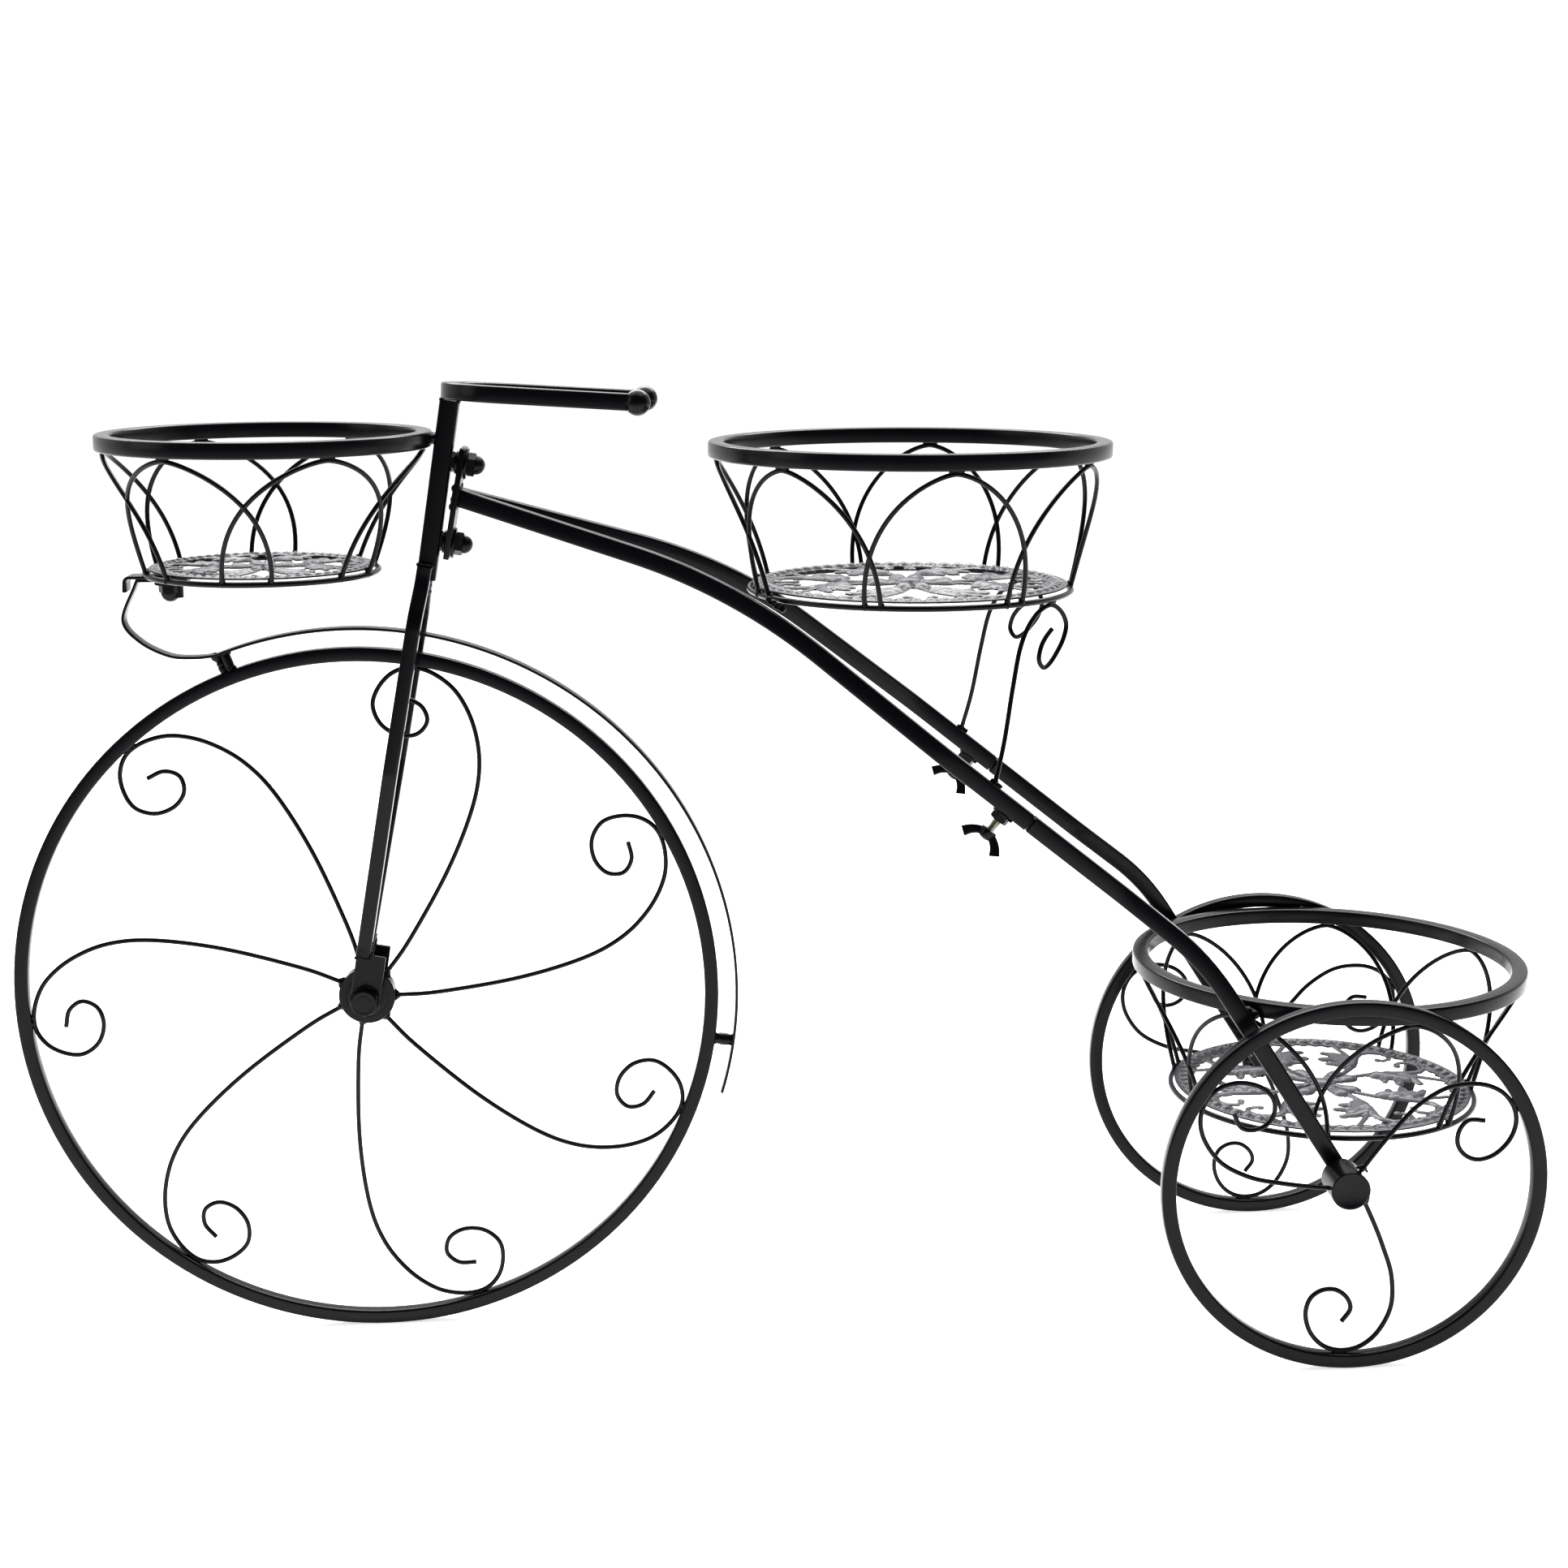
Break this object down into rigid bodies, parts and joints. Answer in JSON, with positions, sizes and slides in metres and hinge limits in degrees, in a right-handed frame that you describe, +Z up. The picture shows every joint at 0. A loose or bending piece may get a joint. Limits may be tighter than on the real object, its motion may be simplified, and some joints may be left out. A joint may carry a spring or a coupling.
{
  "type": "bicycle planter",
  "caption": "Tricycle-shaped planter stand in black steel with wire pot baskets at the front, middle and rear, scroll-spoked wheels and a frame that slides apart at its sleeves.",
  "frame": {"origin": "on the floor, under the middle of the bounding box", "axes": "+X from the front wheel towards the two rear wheels, +Y towards the side that faces away in the picture, +Z up"},
  "size_m": [0.8591, 0.244, 0.5415],
  "materials": {
    "black_powder_coat": "satin powder coat",
    "dark_stamped_plate": "semi-gloss over stamped relief",
    "zinc_thread": "bright zinc"
  },
  "bodies": {
    "rear_section": {"rear_basket_cage": "black_powder_coat", "rear_basket_plate": "dark_stamped_plate", "rear_basket_rim": "black_powder_coat", "rear_hub_left": "black_powder_coat", "rear_hub_right": "black_powder_coat", "rear_spoke_left_1": "black_powder_coat", "rear_spoke_left_2": "black_powder_coat", "rear_spoke_left_3": "black_powder_coat", "rear_spoke_right_1": "black_powder_coat", "rear_spoke_right_2": "black_powder_coat", "rear_spoke_right_3": "black_powder_coat", "rear_tube_left": "black_powder_coat", "rear_tube_right": "black_powder_coat", "rear_wheel_rim_left": "black_powder_coat", "rear_wheel_rim_right": "black_powder_coat"},
    "front_section": {"axle_bolt": "black_powder_coat", "axle_nut": "black_powder_coat", "basket_bracket": "black_powder_coat", "bracket_bolt": "black_powder_coat", "bracket_cap_nut": "black_powder_coat", "clamp_nut_left": "black_powder_coat", "clamp_nut_right": "black_powder_coat", "dropout_left": "black_powder_coat", "dropout_right": "black_powder_coat", "fender_strap": "black_powder_coat", "fender_stub_front": "black_powder_coat", "fender_stub_rear": "black_powder_coat", "fork_blade_left": "black_powder_coat", "fork_blade_right": "black_powder_coat", "front_basket_cage": "black_powder_coat", "front_basket_plate": "dark_stamped_plate", "front_basket_rim": "black_powder_coat", "front_hub": "black_powder_coat", "front_spoke_1": "black_powder_coat", "front_spoke_2": "black_powder_coat", "front_spoke_3": "black_powder_coat", "front_spoke_4": "black_powder_coat", "front_spoke_5": "black_powder_coat", "front_spoke_6": "black_powder_coat", "front_spoke_7": "black_powder_coat", "front_tube_left": "black_powder_coat", "front_tube_right": "black_powder_coat", "front_wheel_rim": "black_powder_coat", "handlebar": "black_powder_coat", "handlebar_ball_left": "black_powder_coat", "handlebar_ball_right": "black_powder_coat", "head_cap_nut_lower": "black_powder_coat", "head_cap_nut_upper": "black_powder_coat", "head_plate": "black_powder_coat", "leg_wire_left": "black_powder_coat", "leg_wire_right": "black_powder_coat", "middle_basket_cage": "black_powder_coat", "middle_basket_plate": "dark_stamped_plate", "middle_basket_rim": "black_powder_coat", "steering_post": "black_powder_coat"},
    "screw_left": {"thumb_screw_left": "zinc_thread"},
    "wings_left": {"thumb_wings_left": "black_powder_coat"},
    "screw_right": {"thumb_screw_right": "zinc_thread"},
    "wings_right": {"thumb_wings_right": "black_powder_coat"}
  },
  "joints": [
    {"name": "sleeve_slide", "type": "slide", "parent": "rear_section", "child": "front_section", "axis": [-0.7642, 0, 0.6449], "range_m": [0, 0.04]},
    {"name": "screw_travel_left", "type": "slide", "parent": "front_section", "child": "screw_left", "axis": [-0.6449, 0, -0.7642], "range_m": [0, 0.004]},
    {"name": "wings_turn_left", "type": "hinge", "parent": "screw_left", "child": "wings_left", "pos_m": [0.11645, -0.08, 0.29826], "axis": [-0.6449, 0, -0.7642], "range_deg": [0, 1795]},
    {"name": "screw_travel_right", "type": "slide", "parent": "front_section", "child": "screw_right", "axis": [-0.6449, 0, -0.7642], "range_m": [0, 0.004]},
    {"name": "wings_turn_right", "type": "hinge", "parent": "screw_right", "child": "wings_right", "pos_m": [0.11645, 0.08, 0.29826], "axis": [-0.6449, 0, -0.7642], "range_deg": [0, 1795]}
  ],
  "couplings": [
    {"joint": "screw_travel_left", "follows": "wings_turn_left", "m_per_rad": 0.00012732},
    {"joint": "screw_travel_right", "follows": "wings_turn_right", "m_per_rad": 0.00012732}
  ]
}
